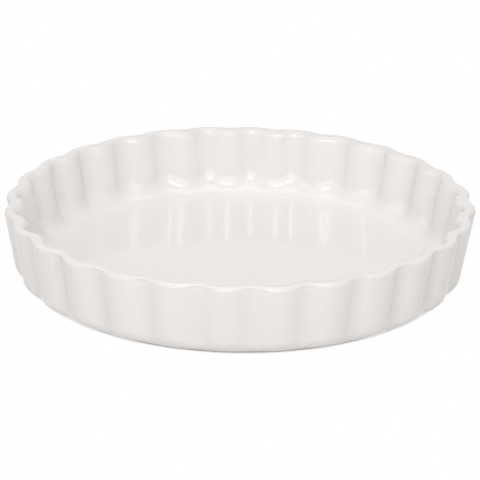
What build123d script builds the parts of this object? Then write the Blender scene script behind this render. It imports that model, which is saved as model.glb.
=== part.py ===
from build123d import *
import math
import os

os.makedirs("parts", exist_ok=True)

# Fluted porcelain quiche dish, in millimetres. +Z is up, and the origin is the middle of the
# circle on which the foot ring stands.

# The dish as a whole, measured over its glaze
rim_radius = 140.0
dish_height = 44.0

# The fluted wall, which leans out towards the rim, and is this thick through its lobes
flute_count = 28
wall_thickness = 7.4
wall_lean = 9.4

# The flutes on its two faces: their depth, and the bend of the small arcs between their wide ones
outer_flute_depth = 3.5
outer_valley_bend = 13.0
inner_flute_depth = 4.4
inner_ridge_bend = 15.0

# The lip's rounds, which end this steep, in degrees, and leave a narrow flat crown between them
outer_lip_bend = 2.4
inner_lip_bend = 3.6
lip_crown = 78.0
# The share of the outer flutes' depth that is left on top of the lip
lip_flute_share = 0.62

# The round at the foot of the wall outside, and the cove round the floor inside
base_bend = 10.0
cove_bend = 15.5
floor_thickness = 4.0
# The share of the flutes' depth that is left where the wall has turned into the flat
flat_flute_share = 0.05

# The foot ring under the floor, bare of glaze, and how far its side stands out from where the floor
# starts to turn up into the wall
foot_step = 0.7
foot_width = 7.0
foot_height = 1.2
foot_bend = 0.5

# The glass that is fused to the clay, and the band beside the foot that is wiped clean
glaze_thickness = 0.3
wiped_band = 2.0

# How many cross-sections shape each round, beyond the one that it starts from
round_steps = 4

lean = math.radians(wall_lean)
crown = math.radians(lip_crown)
half_flute = math.pi / flute_count
outer_lip_height = dish_height - outer_lip_bend * math.sin(crown)
inner_lip_height = dish_height - inner_lip_bend * math.sin(crown)
floor_height = foot_height + floor_thickness


def outside_radius(height):
    """Radius of the flutes' crests on the outside of the straight wall at this height."""
    at_lip = rim_radius - outer_lip_bend + outer_lip_bend / math.cos(lean)
    return at_lip - (outer_lip_height - height) * math.tan(lean)


def inside_radius(height):
    """Radius at which the flutes reach furthest out on the inside of the straight wall at this height."""
    return outside_radius(height) - wall_thickness / math.cos(lean)


# Each face of the wall: its radius by height, the depth of its flutes and the bend of their small arcs
outer_face = (outside_radius, outer_flute_depth, outer_valley_bend)
inner_face = (inside_radius, inner_flute_depth, inner_ridge_bend)


def flute_outline(crest, height, depth, small_bend):
    """Closed line round the dish: a wide arc for each lobe and a small one for each valley, tangent in turn."""
    valley_centre = crest - depth + small_bend
    wide_bend = (
        (crest**2 + valley_centre**2 - 2 * crest * valley_centre * math.cos(half_flute) - small_bend**2)
        / (2 * (crest - valley_centre * math.cos(half_flute) + small_bend))
    )
    lobe_centre = crest - wide_bend
    reach = wide_bend / (wide_bend + small_bend)
    join_x = lobe_centre + (valley_centre * math.cos(half_flute) - lobe_centre) * reach
    join_y = valley_centre * math.sin(half_flute) * reach
    join_radius = math.hypot(join_x, join_y)
    join_turn = math.atan2(join_y, join_x)

    def point(radius, turn):
        return Vector(radius * math.cos(turn), radius * math.sin(turn), height)

    arcs = []
    for flute in range(flute_count):
        middle = 2 * half_flute * flute
        lobe_end = point(join_radius, middle + join_turn)
        lobe_start = point(join_radius, middle - join_turn)
        valley_end = point(join_radius, middle + 2 * half_flute - join_turn)
        arcs.append(Edge.make_three_point_arc(lobe_start, point(crest, middle), lobe_end))
        arcs.append(
            Edge.make_three_point_arc(lobe_end, point(crest - depth, middle + half_flute), valley_end)
        )
    return Wire(arcs)


def round_outlines(face, centre_radius, centre_height, bend, first_angle, last_angle, level_share):
    """Outlines along a round of this bend, from one angle of its surface to the other, in radians.

    An outline off the face of the wall runs parallel to it: the valleys' arcs are larger by as much as
    the line lies further in. Where the round turns level, this share of the flutes' depth is left, and
    their valleys widen as they rise.
    """
    wall_radius, full_depth, full_bend = face
    outlines = []
    for step in range(round_steps + 1):
        angle = first_angle + (last_angle - first_angle) * step / round_steps
        share = level_share + (1 - level_share) * (math.cos(angle) / math.cos(lean)) ** 2
        crest = centre_radius + bend * math.cos(angle)
        height = centre_height + bend * math.sin(angle)
        small_bend = full_bend / share + wall_radius(height) - crest
        outlines.append(flute_outline(crest, height, full_depth * share, small_bend))
    return outlines


def base_centre():
    """Radius and height of the middle of the base round. The floor is flat as far out as this radius."""
    centre_height = foot_height + base_bend
    return outside_radius(centre_height) - base_bend / math.cos(lean), centre_height


def fluted_stack(lower_round, upper_round):
    """One solid of the lower round, the straight wall above it and the upper round."""
    return (
        Solid.make_loft(lower_round)
        + Solid.make_loft([lower_round[-1], upper_round[0]], True)
        + Solid.make_loft(upper_round)
    )


def dish_form(inset):
    """The dish without its foot ring, with every surface set in by this much."""
    flat_radius, base_height = base_centre()
    base = round_outlines(
        outer_face,
        flat_radius,
        base_height,
        base_bend - inset,
        -math.pi / 2,
        -lean,
        flat_flute_share,
    )
    outer_lip = round_outlines(
        outer_face,
        rim_radius - outer_lip_bend,
        outer_lip_height,
        outer_lip_bend - inset,
        -lean,
        crown,
        lip_flute_share,
    )
    cove_height = floor_height + cove_bend
    cove = round_outlines(
        inner_face,
        inside_radius(cove_height) - cove_bend / math.cos(lean),
        cove_height,
        cove_bend + inset,
        -math.pi / 2,
        -lean,
        flat_flute_share,
    )
    inner_lip = round_outlines(
        inner_face,
        inside_radius(inner_lip_height) + inner_lip_bend / math.cos(lean),
        inner_lip_height,
        inner_lip_bend - inset,
        math.pi - lean,
        math.pi - crown,
        1.0,
    )
    return fluted_stack(base, outer_lip) - fluted_stack(cove, inner_lip)


def foot_ring(spare_width):
    """The ring that the dish stands on, rising into the floor, with this much spare on its inner side."""
    section = Plane.XZ * Pos(base_centre()[0] + foot_step, 0) * Rectangle(
        foot_width + spare_width,
        foot_height + floor_thickness / 2,
        align=(Align.MAX, Align.MIN),
    )
    ring = revolve(section, Axis.Z)
    return fillet(ring.edges().group_by(Axis.Z)[0], foot_bend)


# The clay, with its bare foot, and the whole dish with its glaze on
clay = dish_form(glaze_thickness)
glazed = dish_form(0)
foot = foot_ring(0)
porcelain_body = clay + foot

# The glaze is what lies between the two: one coat inside and out, and one patch inside the foot ring
glaze = (glazed - clay - foot_ring(wiped_band)).solids().sort_by(Axis.Z)
glaze_underside = glaze[0]
glaze_coat = glaze[-1]

export_step(porcelain_body, "parts/porcelain_body.step")
export_step(glaze_coat, "parts/glaze_coat.step")
export_step(glaze_underside, "parts/glaze_underside.step")
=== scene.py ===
import math

import bpy
import numpy as np
from mathutils import Matrix, Quaternion, Vector


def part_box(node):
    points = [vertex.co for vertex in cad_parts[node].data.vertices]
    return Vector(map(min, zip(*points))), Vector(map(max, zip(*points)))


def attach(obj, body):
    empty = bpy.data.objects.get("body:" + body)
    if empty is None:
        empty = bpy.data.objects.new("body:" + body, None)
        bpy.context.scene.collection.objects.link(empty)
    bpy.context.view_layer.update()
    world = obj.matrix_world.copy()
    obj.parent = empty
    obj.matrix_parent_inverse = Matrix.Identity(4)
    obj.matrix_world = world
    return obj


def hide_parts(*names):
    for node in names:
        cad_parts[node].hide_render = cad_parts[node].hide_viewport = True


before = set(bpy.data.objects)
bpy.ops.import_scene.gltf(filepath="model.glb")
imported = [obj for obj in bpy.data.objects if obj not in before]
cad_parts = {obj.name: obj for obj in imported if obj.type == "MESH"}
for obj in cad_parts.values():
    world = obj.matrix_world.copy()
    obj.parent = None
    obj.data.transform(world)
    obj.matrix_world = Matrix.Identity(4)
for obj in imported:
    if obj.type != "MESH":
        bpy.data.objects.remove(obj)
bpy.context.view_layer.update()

# The clay body is one casting of white porcelain: floor, fluted wall and rounded lip are pressed
# together over a mould, and the foot ring is turned under the floor. It is fired standing on that ring,
# which is wiped clean of glaze, so the ring is the only clay that shows.
rim_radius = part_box("glaze_coat")[1].x
dish_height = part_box("glaze_coat")[1].z
flute_count = 28
outer_flute_depth = 0.0035
outer_valley_bend = 0.013
inner_flute_depth = 0.0044
inner_ridge_bend = 0.015
wall_thickness = 0.0074
wall_lean = math.radians(9.4)
lip_flute_share = 0.62
outer_lip_bend = 0.0024
inner_lip_bend = 0.0036
base_bend = 0.010
cove_bend = 0.0155
foot_height = 0.0012
floor_thickness = 0.004
foot_step = 0.0007
foot_width = 0.007
foot_bend = 0.0005
flat_flute_share = 0.05
glaze_thickness = 0.0003
half_flute = math.pi / flute_count
floor_height = foot_height + floor_thickness
# How far the base round stays clear of the foot's side, and the small ring left round the dish's axis
clear_of_foot = 0.0004
axis_ring = 0.004
columns_in_flute = 24
turns = np.linspace(0, 2 * math.pi, flute_count * columns_in_flute, endpoint=False)


def outside_radius(height):
    """Crest radius of the straight wall outside: the lip's radius, less the lean times the drop from it."""
    at_lip = rim_radius - outer_lip_bend + outer_lip_bend / math.cos(wall_lean)
    return at_lip - (dish_height - outer_lip_bend - height) * math.tan(wall_lean)


def inside_radius(height):
    """Crest radius of the straight wall inside, where the flutes reach furthest out."""
    return outside_radius(height) - wall_thickness / math.cos(wall_lean)


base_height = foot_height + base_bend
flat_radius = outside_radius(base_height) - base_bend / math.cos(wall_lean)
foot_radius = flat_radius + foot_step
outer_face = (outside_radius, outer_flute_depth, outer_valley_bend)
inner_face = (inside_radius, inner_flute_depth, inner_ridge_bend)


def fluted_radius(turn, crest, depth, small_bend):
    """Distance from the dish's axis of a fluted ring, for angles round it and the ring's crest radius.

    A wide arc makes each lobe and a smaller one each valley, and they touch without a corner. Within the
    lobe the distance is the far root of the circle round the lobe's centre, and within the valley it is
    the near root of the circle round the valley's centre, which stands outside the ring.
    """
    valley_centre = crest - depth + small_bend
    along = valley_centre * math.cos(half_flute)
    wide_bend = (crest**2 + valley_centre**2 - 2 * crest * along - small_bend**2) / (
        2 * (crest - along + small_bend)
    )
    lobe_centre = crest - wide_bend
    reach = wide_bend / (wide_bend + small_bend)
    join = np.arctan2(
        valley_centre * math.sin(half_flute) * reach,
        lobe_centre + (along - lobe_centre) * reach,
    )
    from_lobe = np.abs((turn + half_flute) % (2 * half_flute) - half_flute)
    from_valley = half_flute - from_lobe
    lobe = lobe_centre * np.cos(from_lobe) + np.sqrt(
        np.maximum(wide_bend**2 - (lobe_centre * np.sin(from_lobe)) ** 2, 0)
    )
    valley = valley_centre * np.cos(from_valley) - np.sqrt(
        np.maximum(small_bend**2 - (valley_centre * np.sin(from_valley)) ** 2, 0)
    )
    return np.where(from_lobe <= join, lobe, valley)


def round_rows(face, centre, bend, first_angle, last_angle, count, level_share):
    """Rows of crest radius, height, flute depth and valley bend along an arc of the section.

    The radius goes with the angle's cosine and the height with its sine. Rings off the face of the wall
    run parallel to it, so their valleys' arcs are larger by as much as the rings are smaller. The flutes'
    depth falls with the cosine's square to the share that is left where the arc is level, and their
    valleys widen as they rise.
    """
    wall_radius, full_depth, full_bend = face
    angle = np.linspace(first_angle, last_angle, count)
    crest = centre[0] + bend * np.cos(angle)
    height = centre[1] + bend * np.sin(angle)
    share = level_share + (1 - level_share) * (np.cos(angle) / math.cos(wall_lean)) ** 2
    return np.stack(
        [crest, height, full_depth * share, full_bend / share + wall_radius(height) - crest], 1
    )


def straight_rows(start, end, count):
    """Rows spaced evenly on the straight line between two rows, without the two themselves."""
    part = np.linspace(0, 1, count + 2)[1:-1, None]
    return start + (end - start) * part


def dish_rows(inset, rows_in_round, rows_in_wall):
    """The section of the dish from the side of its foot, over the lip, to the middle of its floor.

    Base round, wall, lip, inner wall, cove and floor follow each other, all set in by the same amount.
    """
    base_reach = base_bend - inset
    steepest = math.acos(min(1.0, (foot_radius + clear_of_foot - flat_radius) / base_reach))
    base = round_rows(
        outer_face,
        (flat_radius, base_height),
        base_reach,
        -steepest,
        -wall_lean,
        rows_in_round,
        flat_flute_share,
    )
    outer_lip = round_rows(
        outer_face,
        (rim_radius - outer_lip_bend, dish_height - outer_lip_bend),
        outer_lip_bend - inset,
        -wall_lean,
        math.pi / 2,
        rows_in_round,
        lip_flute_share,
    )
    inner_lip_height = dish_height - inner_lip_bend
    inner_lip = round_rows(
        inner_face,
        (inside_radius(inner_lip_height) + inner_lip_bend / math.cos(wall_lean), inner_lip_height),
        inner_lip_bend - inset,
        math.pi / 2,
        math.pi - wall_lean,
        rows_in_round,
        1.0,
    )
    cove_height = floor_height + cove_bend
    cove = round_rows(
        inner_face,
        (inside_radius(cove_height) - cove_bend / math.cos(wall_lean), cove_height),
        cove_bend + inset,
        -wall_lean,
        -math.pi / 2,
        rows_in_round,
        flat_flute_share,
    )
    floor = cove[-1] * np.linspace(1, 0.03, rows_in_wall + 6)[1:, None] ** np.array([1, 0, 1, 1])
    return np.concatenate(
        [
            base,
            straight_rows(base[-1], outer_lip[0], rows_in_wall),
            outer_lip,
            straight_rows(outer_lip[-1], inner_lip[0], 2),
            inner_lip,
            straight_rows(inner_lip[-1], cove[0], rows_in_wall),
            cove,
            floor,
        ]
    )


def fluted_rings(rows):
    """Points of one ring for each row of the section, in the frame of the dish, in metres."""
    crest, height, depth, small_bend = (rows[:, column, None] for column in range(4))
    radius = fluted_radius(turns[None, :], crest, depth, small_bend)
    return np.stack([radius * np.cos(turns), radius * np.sin(turns), height + 0 * radius], 2)


def plain_rings(radii_and_heights):
    """Points of one round ring for each pair of radius and height."""
    radius, height = (np.array(radii_and_heights)[:, column, None] for column in range(2))
    return np.stack([radius * np.cos(turns), radius * np.sin(turns), height + 0 * radius * turns], 2)


# The kiln's warp as waves round the wall: how far each moves it, its count to the round and its start
waves_outwards = ((0.00022, 2, 0.7), (0.00012, 5, 2.1), (0.0001, 11, 0.0))
waves_upwards = ((0.00014, 3, 1.9), (0.0001, 7, 0.4))


def fired(rings):
    """What the kiln does to a true shape: slow waves of two to eleven to the round push the wall in and
    out and lift and lower the lip. The push grows with the square of the height, so the foot stays flat.
    """
    turn = np.arctan2(rings[..., 1], rings[..., 0])
    lift = (rings[..., 2] / dish_height) ** 2
    outwards = sum(reach * np.sin(count * turn + start) for reach, count, start in waves_outwards)
    upwards = sum(reach * np.sin(count * turn + start) for reach, count, start in waves_upwards)
    moved = rings.copy()
    moved[..., 0] += lift * outwards * np.cos(turn)
    moved[..., 1] += lift * outwards * np.sin(turn)
    moved[..., 2] += lift * upwards
    return moved


def closed_piece(name, rings):
    """A closed mesh of rings from one point on the axis to another: four-sided faces join each ring to
    the next all the way round, and a fan of three-sided ones closes each end."""
    count, columns = rings.shape[:2]
    points = rings.reshape(-1, 3)
    poles = np.array([[0, 0, rings[0, 0, 2]], [0, 0, rings[-1, 0, 2]]])
    ring, column = np.meshgrid(np.arange(count - 1), np.arange(columns), indexing="ij")
    beside = (column + 1) % columns
    quads = np.stack(
        [
            ring * columns + column,
            ring * columns + beside,
            (ring + 1) * columns + beside,
            (ring + 1) * columns + column,
        ],
        2,
    ).reshape(-1, 4)
    edge = np.arange(columns)
    edge_beside = (edge + 1) % columns
    last = (count - 1) * columns
    first_fan = np.stack([edge * 0 + len(points), edge_beside, edge], 1)
    last_fan = np.stack([last + edge, last + edge_beside, edge * 0 + len(points) + 1], 1)
    mesh = bpy.data.meshes.new(name)
    mesh.from_pydata(
        np.concatenate([points, poles]).tolist(),
        [],
        quads.tolist() + first_fan.tolist() + last_fan.tolist(),
    )
    mesh.shade_smooth()
    piece = bpy.data.objects.new(name, mesh)
    bpy.context.scene.collection.objects.link(piece)
    return piece


def corner_rows(centre_radius, centre_height, bend, first_angle, last_angle, count):
    """Pairs of radius and height along a rounded corner of the foot or of the glaze's edge."""
    angle = np.linspace(first_angle, last_angle, count)
    return np.stack([centre_radius + bend * np.cos(angle), centre_height + bend * np.sin(angle)], 1)


underside_height = foot_height + glaze_thickness
foot_inside = foot_radius - foot_width
inner_corner_bend = 0.0004
beside_corner = 0.001
underside_radii = np.linspace(axis_ring, foot_inside - beside_corner, 14)
standing_radii = np.linspace(foot_inside + beside_corner, foot_radius - beside_corner, 7)
foot_side_heights = np.array([0.0009, 0.0014])
foot_rows = np.concatenate(
    [
        np.stack([underside_radii, underside_height + 0 * underside_radii], 1),
        corner_rows(
            foot_inside - inner_corner_bend,
            underside_height - inner_corner_bend,
            inner_corner_bend,
            math.pi / 2,
            0,
            5,
        ),
        corner_rows(foot_inside + foot_bend, foot_bend, foot_bend, math.pi, 1.5 * math.pi, 7),
        np.stack([standing_radii, 0 * standing_radii], 1),
        corner_rows(foot_radius - foot_bend, foot_bend, foot_bend, -math.pi / 2, 0, 7),
        np.stack([foot_radius + 0 * foot_side_heights, foot_side_heights], 1),
    ]
)
clay_rings = np.concatenate([plain_rings(foot_rows), fluted_rings(dish_rows(glaze_thickness, 11, 6))])
clay_body = closed_piece("fired_clay_body", fired(clay_rings))


def new_group(name, inputs, outputs):
    """A shader node group with these named sockets, given as name, kind and starting value."""
    group = bpy.data.node_groups.new(name, "ShaderNodeTree")
    for socket_name, kind, value in inputs:
        socket = group.interface.new_socket(socket_name, in_out="INPUT", socket_type="NodeSocket" + kind)
        if value is not None:
            socket.default_value = value
    for socket_name, kind in outputs:
        group.interface.new_socket(socket_name, in_out="OUTPUT", socket_type="NodeSocket" + kind)
    return group, group.nodes.new("NodeGroupInput").outputs, group.nodes.new("NodeGroupOutput").inputs


def set_socket(tree, socket, value):
    """Links the socket if the value is another node's socket, and otherwise writes the value on it."""
    if isinstance(value, bpy.types.NodeSocket):
        tree.links.new(value, socket)
    elif value is not None:
        socket.default_value = value


def noise(tree, position, scale, detail):
    """Grey noise that many to the metre, from 0 to 1."""
    node = tree.nodes.new("ShaderNodeTexNoise")
    set_socket(tree, node.inputs["Vector"], position)
    set_socket(tree, node.inputs["Scale"], scale)
    set_socket(tree, node.inputs["Detail"], detail)
    return node.outputs["Fac"]


def maths(tree, operation, *values):
    """The result of one sum, comparison or choice on values and sockets."""
    node = tree.nodes.new("ShaderNodeMath")
    node.operation = operation
    for socket, value in zip(node.inputs, values):
        set_socket(tree, socket, value)
    return node.outputs[0]


def between(tree, value, low, high, new_low, new_high):
    """The value carried over from one range to another, and held at that range's ends."""
    node = tree.nodes.new("ShaderNodeMapRange")
    for socket, number in zip(node.inputs, (value, low, high, new_low, new_high)):
        set_socket(tree, socket, number)
    return node.outputs[0]


def mixed(tree, share, first, second):
    """A colour between two others."""
    node = tree.nodes.new("ShaderNodeMix")
    node.data_type = "RGBA"
    set_socket(tree, node.inputs["Factor"], share)
    set_socket(tree, node.inputs["A"], first)
    set_socket(tree, node.inputs["B"], second)
    return node.outputs["Result"]


# Ground that is nowhere quite flat: slow waves with a finer grain in them, and slow patches of tone
uneven, given, made = new_group(
    "uneven_fired_surface",
    [
        ("Position", "Vector", None),
        ("Waves per Metre", "Float", 60.0),
        ("Grains per Metre", "Float", 900.0),
        ("Grain Share", "Float", 0.2),
    ],
    [("Height", "Float"), ("Patches", "Float")],
)
wave = noise(uneven, given["Position"], given["Waves per Metre"], 1.0)
grain = noise(uneven, given["Position"], given["Grains per Metre"], 3.0)
wave_share = maths(uneven, "SUBTRACT", 1.0, given["Grain Share"])
uneven.links.new(
    maths(
        uneven,
        "ADD",
        maths(uneven, "MULTIPLY", wave, wave_share),
        maths(uneven, "MULTIPLY", grain, given["Grain Share"]),
    ),
    made["Height"],
)
patch_scale = maths(uneven, "MULTIPLY", given["Waves per Metre"], 0.4)
uneven.links.new(noise(uneven, given["Position"], patch_scale, 2.0), made["Patches"])

# Pin specks that come up in the kiln: small round marks, only in a few of the cells that they could be in
specks, given, made = new_group(
    "kiln_specks",
    [
        ("Position", "Vector", None),
        ("Cells per Metre", "Float", 120.0),
        ("Size", "Float", 0.03),
        ("Share", "Float", 0.05),
    ],
    [("Mask", "Float")],
)
cells = specks.nodes.new("ShaderNodeTexVoronoi")
set_socket(specks, cells.inputs["Vector"], given["Position"])
set_socket(specks, cells.inputs["Scale"], given["Cells per Metre"])
chance = specks.nodes.new("ShaderNodeSeparateColor")
set_socket(specks, chance.inputs[0], cells.outputs["Color"])
near = maths(specks, "LESS_THAN", cells.outputs["Distance"], given["Size"])
chosen = maths(specks, "LESS_THAN", chance.outputs[0], given["Share"])
specks.links.new(maths(specks, "MULTIPLY", near, chosen), made["Mask"])


def new_material(name):
    """A material with its Principled BSDF, and the place on the piece for its patterns."""
    material = bpy.data.materials.new(name)
    material.use_nodes = True
    tree = material.node_tree
    place = tree.nodes.new("ShaderNodeTexCoord").outputs["Object"]
    return material, tree, tree.nodes["Principled BSDF"], place


def placed_group(tree, group, **values):
    """The group as a node in a material, with its values given by socket name."""
    node = tree.nodes.new("ShaderNodeGroup")
    node.node_tree = group
    for name, value in values.items():
        set_socket(tree, node.inputs[name.replace("_", " ")], value)
    return node.outputs


def add_bump(tree, shader, height, depth):
    """Relief on the surface, of this depth in metres where the height goes from 0 to 1."""
    bump = tree.nodes.new("ShaderNodeBump")
    bump.inputs["Distance"].default_value = depth
    set_socket(tree, bump.inputs["Height"], height)
    tree.links.new(bump.outputs[0], shader.inputs["Normal"])


pale_clay = (0.70, 0.675, 0.635, 1)
dark_clay = (0.60, 0.565, 0.515, 1)
clay_speck = (0.33, 0.27, 0.21, 1)
bare_clay, tree, shader, place = new_material("bare_fired_clay")
ground = placed_group(
    tree, uneven, Position=place, Waves_per_Metre=110.0, Grains_per_Metre=2600.0, Grain_Share=0.65
)
marks = placed_group(tree, specks, Position=place, Cells_per_Metre=420.0, Size=0.16, Share=0.035)
clay_tone = mixed(tree, between(tree, ground["Patches"], 0.35, 0.7, 0.0, 1.0), pale_clay, dark_clay)
set_socket(
    tree,
    shader.inputs["Base Color"],
    mixed(tree, maths(tree, "MULTIPLY", marks["Mask"], 0.6), clay_tone, clay_speck),
)
set_socket(tree, shader.inputs["Roughness"], between(tree, ground["Patches"], 0.3, 0.7, 0.62, 0.8))
shader.inputs["IOR"].default_value = 1.5
add_bump(tree, shader, ground["Height"], 0.00012)
clay_body.data.materials.append(bare_clay)
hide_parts("porcelain_body")
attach(clay_body, "root")

# The glaze coat is clear glass fused to the clay over the whole inside, the lip and the fluted outside.
# It is poured on as a slip, so it gathers in the cove and in the valleys, runs thin over the lip and
# the ridges, and ends in a soft roll beside the bare foot.
coat_outside = fluted_rings(dish_rows(0.0, 14, 10))
coat_inside = fluted_rings(dish_rows(glaze_thickness, 7, 4))[::-1]
roll_radius = foot_radius + 0.0003
roll_height = foot_height + 0.00022
roll_bend = 0.00016
glaze_edge = plain_rings(
    corner_rows(roll_radius, roll_height, roll_bend, 0.5 * math.pi, 1.5 * math.pi, 5)
)
glaze_coat = closed_piece("glaze_coat_skin", fired(np.concatenate([coat_inside, glaze_edge, coat_outside])))
# The floor's glaze is even within the first radius, and gathers as at the wall from the second one on.
# The shares are of the most that gathers anywhere: at the glaze's edge outside, and in the hollows.
even_radius = 0.08
gathering_radius = 0.12
edge_share = 0.6
hollow_share = 0.25


def gathered_glaze(mesh):
    """How much glaze lies at each point, from 0 on the lip to 1 in the cove, as an attribute of the mesh.

    It falls off with the square of the distance to the cove's height inside and to the glaze's edge
    outside, and a cosine of the angle, one to each flute, adds some in the hollows of both sides.
    """
    points = np.zeros(len(mesh.vertices) * 3)
    mesh.vertices.foreach_get("co", points)
    x, y, z = points.reshape(-1, 3).T
    radius = np.hypot(x, y)
    inside = radius < outside_radius(z) - 0.5 * wall_thickness
    hollow = 0.5 + 0.5 * np.cos(flute_count * np.arctan2(y, x)) * np.where(inside, 1, -1)
    low = np.where(inside, floor_height, foot_height)
    above = np.clip((z - low) / (dish_height - low), 0, 1)
    near_wall = np.clip((radius - even_radius) / (gathering_radius - even_radius), 0, 1)
    low_down = (1 - above) ** 2 * np.where(inside, near_wall, edge_share)
    amount = low_down + hollow_share * hollow * (1 - above**6) * near_wall
    attribute = mesh.attributes.new("gathered", "FLOAT", "POINT")
    attribute.data.foreach_set("value", np.clip(amount, 0, 1).astype(np.float32))


thin_glaze = (0.865, 0.832, 0.812, 1)
deep_glaze = (0.845, 0.81, 0.787, 1)
patch_glaze = (0.853, 0.818, 0.796, 1)
# Painted shade for the lip: the thin glaze's tone darkened by about a tenth
painted_lip_shade = (0.775, 0.745, 0.727, 1)
glaze_speck = (0.45, 0.40, 0.34, 1)
glossy_glaze, tree, shader, place = new_material("clear_gloss_glaze")
ground = placed_group(
    tree, uneven, Position=place, Waves_per_Metre=30.0, Grains_per_Metre=260.0, Grain_Share=0.06
)
marks = placed_group(tree, specks, Position=place, Cells_per_Metre=70.0, Size=0.016, Share=0.02)
gathered = tree.nodes.new("ShaderNodeAttribute")
gathered.attribute_name = "gathered"
glaze_tone = mixed(tree, gathered.outputs["Fac"], thin_glaze, deep_glaze)
glaze_tone = mixed(tree, between(tree, ground["Patches"], 0.3, 0.7, 0.0, 0.5), glaze_tone, patch_glaze)
# Painted shade on the lip: its shoulders, up to 3 mm below its top, are painted darker than the wall, and
# its flat crown less so, because more light falls on them from above
height_on_dish = tree.nodes.new("ShaderNodeSeparateXYZ")
set_socket(tree, height_on_dish.inputs[0], place)
up = height_on_dish.outputs[2]
shoulder_shade_share = between(tree, up, dish_height - 0.0030, dish_height - 0.0008, 0.0, 1.0)
off_crown = between(tree, up, dish_height - 0.0005, dish_height - 0.0001, 1.0, 0.45)
glaze_tone = mixed(tree, maths(tree, "MULTIPLY", shoulder_shade_share, off_crown), glaze_tone, painted_lip_shade)
set_socket(
    tree,
    shader.inputs["Base Color"],
    mixed(tree, maths(tree, "MULTIPLY", marks["Mask"], 0.35), glaze_tone, glaze_speck),
)
set_socket(tree, shader.inputs["Roughness"], between(tree, ground["Patches"], 0.3, 0.7, 0.055, 0.095))
shader.inputs["IOR"].default_value = 1.52
add_bump(tree, shader, ground["Height"], 0.00025)
gathered_glaze(glaze_coat.data)
glaze_coat.data.materials.append(glossy_glaze)
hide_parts("glaze_coat")
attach(glaze_coat, "root")

# The underside glaze is the same glass on the sunk face inside the foot ring. It is a thin round patch
# of its own, because the clay beside the ring is wiped bare before firing.
patch_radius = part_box("glaze_underside")[1].x
patch_edge = 0.5 * glaze_thickness
patch_radii = np.linspace(axis_ring, patch_radius - beside_corner, 16)
patch_rings = plain_rings(
    np.concatenate(
        [
            np.stack([patch_radii, foot_height + 0 * patch_radii], 1),
            corner_rows(
                patch_radius - patch_edge, foot_height + patch_edge, patch_edge, -math.pi / 2, math.pi / 2, 7
            ),
            np.stack([patch_radii[::-1], underside_height + 0 * patch_radii], 1),
        ]
    )
)
glaze_patch = closed_piece("glaze_underside_patch", patch_rings)
gathered_glaze(glaze_patch.data)
glaze_patch.data.materials.append(glossy_glaze)
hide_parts("glaze_underside")
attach(glaze_patch, "root")

# The camera has a long lens and looks down on the rim from about 21 degrees, a quarter of a flute off
# the nearest valley. Its place, aim and roll are those that fit the rim, the wall and the foot.
camera_turn = Matrix.Rotation(math.radians(3.19), 3, "Z")
camera_rise = math.radians(21.18)
camera_reach = 1.414
camera_roll = math.radians(0.78)
focal_length_in_pixels = 2356.0
picture_width = 480
aim = camera_turn @ Vector((0.00036, 0, 0.01833))
backwards = camera_turn @ Vector((0, -math.cos(camera_rise), math.sin(camera_rise)))
camera_data = bpy.data.cameras.new("camera")
camera_data.sensor_width = 36.0
camera_data.lens = focal_length_in_pixels * camera_data.sensor_width / picture_width
camera_data.clip_end = 50.0
camera = bpy.data.objects.new("camera", camera_data)
camera.location = aim + backwards * camera_reach
camera.rotation_mode = "QUATERNION"
camera.rotation_quaternion = (-backwards).to_track_quat("-Z", "Y") @ Quaternion((0, 0, 1), camera_roll)
bpy.context.scene.collection.objects.link(camera)
bpy.context.scene.camera = camera

# The table is a plain white sheet that runs on past the picture. It is not part of the dish: it shows
# as white, keeps the shadow under the foot, and sends light back up at the wall.
table_reach = 5.0
table_mesh = bpy.data.meshes.new("table")
table_mesh.from_pydata(
    [(x * table_reach, y * table_reach, 0) for x, y in ((-1, -1), (1, -1), (1, 1), (-1, 1))],
    [],
    [(0, 1, 2, 3)],
)
table = bpy.data.objects.new("table", table_mesh)
bpy.context.scene.collection.objects.link(table)


def seen_share(tree):
    """1 for the rays that show a background, from the camera, a mirror or a glass, and 0 for light."""
    path = tree.nodes.new("ShaderNodeLightPath")
    seen = maths(tree, "MAXIMUM", path.outputs["Is Camera Ray"], path.outputs["Is Glossy Ray"])
    return maths(tree, "MAXIMUM", seen, path.outputs["Is Transmission Ray"])


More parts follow.
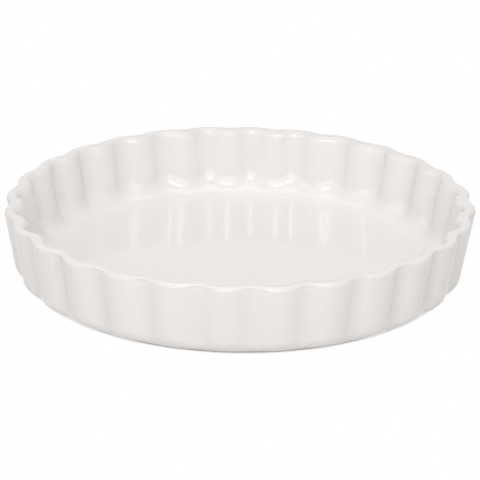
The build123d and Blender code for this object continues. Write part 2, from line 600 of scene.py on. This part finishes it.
white_table = bpy.data.materials.new("white_table")
white_table.use_nodes = True
tree = white_table.node_tree
shader = tree.nodes["Principled BSDF"]
shader.inputs["Base Color"].default_value = (0.7, 0.7, 0.7, 1)
shader.inputs["Roughness"].default_value = 0.9
shader.inputs["Specular IOR Level"].default_value = 0.0
glow = tree.nodes.new("ShaderNodeEmission")
shown = tree.nodes.new("ShaderNodeMixShader")
open_share = tree.nodes.new("ShaderNodeAmbientOcclusion")
shadow_reach = 0.0025
open_share.inputs["Distance"].default_value = shadow_reach
open_ground = between(tree, open_share.outputs["AO"], 0.0, 0.4, 0.45, 1.0)
set_socket(tree, shown.inputs[0], maths(tree, "MULTIPLY", seen_share(tree), open_ground))
tree.links.new(shader.outputs[0], shown.inputs[1])
tree.links.new(glow.outputs[0], shown.inputs[2])
tree.links.new(shown.outputs[0], tree.nodes["Material Output"].inputs["Surface"])
table_mesh.materials.append(white_table)

# The light is soft and white. A small bright window over the camera makes the sharp lights, three wide
# lamps at the front and overhead light the dish evenly, and a weak one stands on its left.
sky = bpy.data.worlds.new("white_studio")
bpy.context.scene.world = sky
sky.use_nodes = True
tree = sky.node_tree
soft_light = tree.nodes["Background"]
soft_light.inputs["Color"].default_value = (1, 1, 1, 1)
soft_light.inputs["Strength"].default_value = 0.43
white_ground = tree.nodes.new("ShaderNodeBackground")
white_ground.inputs["Color"].default_value = (1, 1, 1, 1)
shown = tree.nodes.new("ShaderNodeMixShader")
set_socket(tree, shown.inputs[0], seen_share(tree))
tree.links.new(soft_light.outputs[0], shown.inputs[1])
tree.links.new(white_ground.outputs[0], shown.inputs[2])
tree.links.new(shown.outputs[0], tree.nodes["World Output"].inputs["Surface"])


def soft_lamp(name, place, width, height, power):
    """A lamp at a place in the camera's frame of turns, facing the dish."""
    lamp_data = bpy.data.lights.new(name, "AREA")
    lamp_data.shape = "RECTANGLE"
    lamp_data.size = width
    lamp_data.size_y = height
    lamp_data.energy = power
    lamp = bpy.data.objects.new(name, lamp_data)
    lamp.location = camera_turn @ Vector(place)
    lamp.rotation_mode = "QUATERNION"
    lamp.rotation_quaternion = (-lamp.location).to_track_quat("-Z", "Y")
    bpy.context.scene.collection.objects.link(lamp)


soft_lamp("front_window", (0, -1.6, 1.5), 0.9, 0.42, 9.5)
soft_lamp("front_window_glow", (0, -1.75, 1.6), 2.4, 1.4, 9.0)
soft_lamp("low_front_window", (0, -2.2, 0.6), 2.4, 0.9, 9.0)
soft_lamp("overhead", (0, 0.2, 2.4), 2.0, 2.0, 15.5)
soft_lamp("left_window", (-2.2, -0.6, 1.3), 1.6, 1.4, 5.0)
bpy.context.scene.view_settings.view_transform = "Standard"
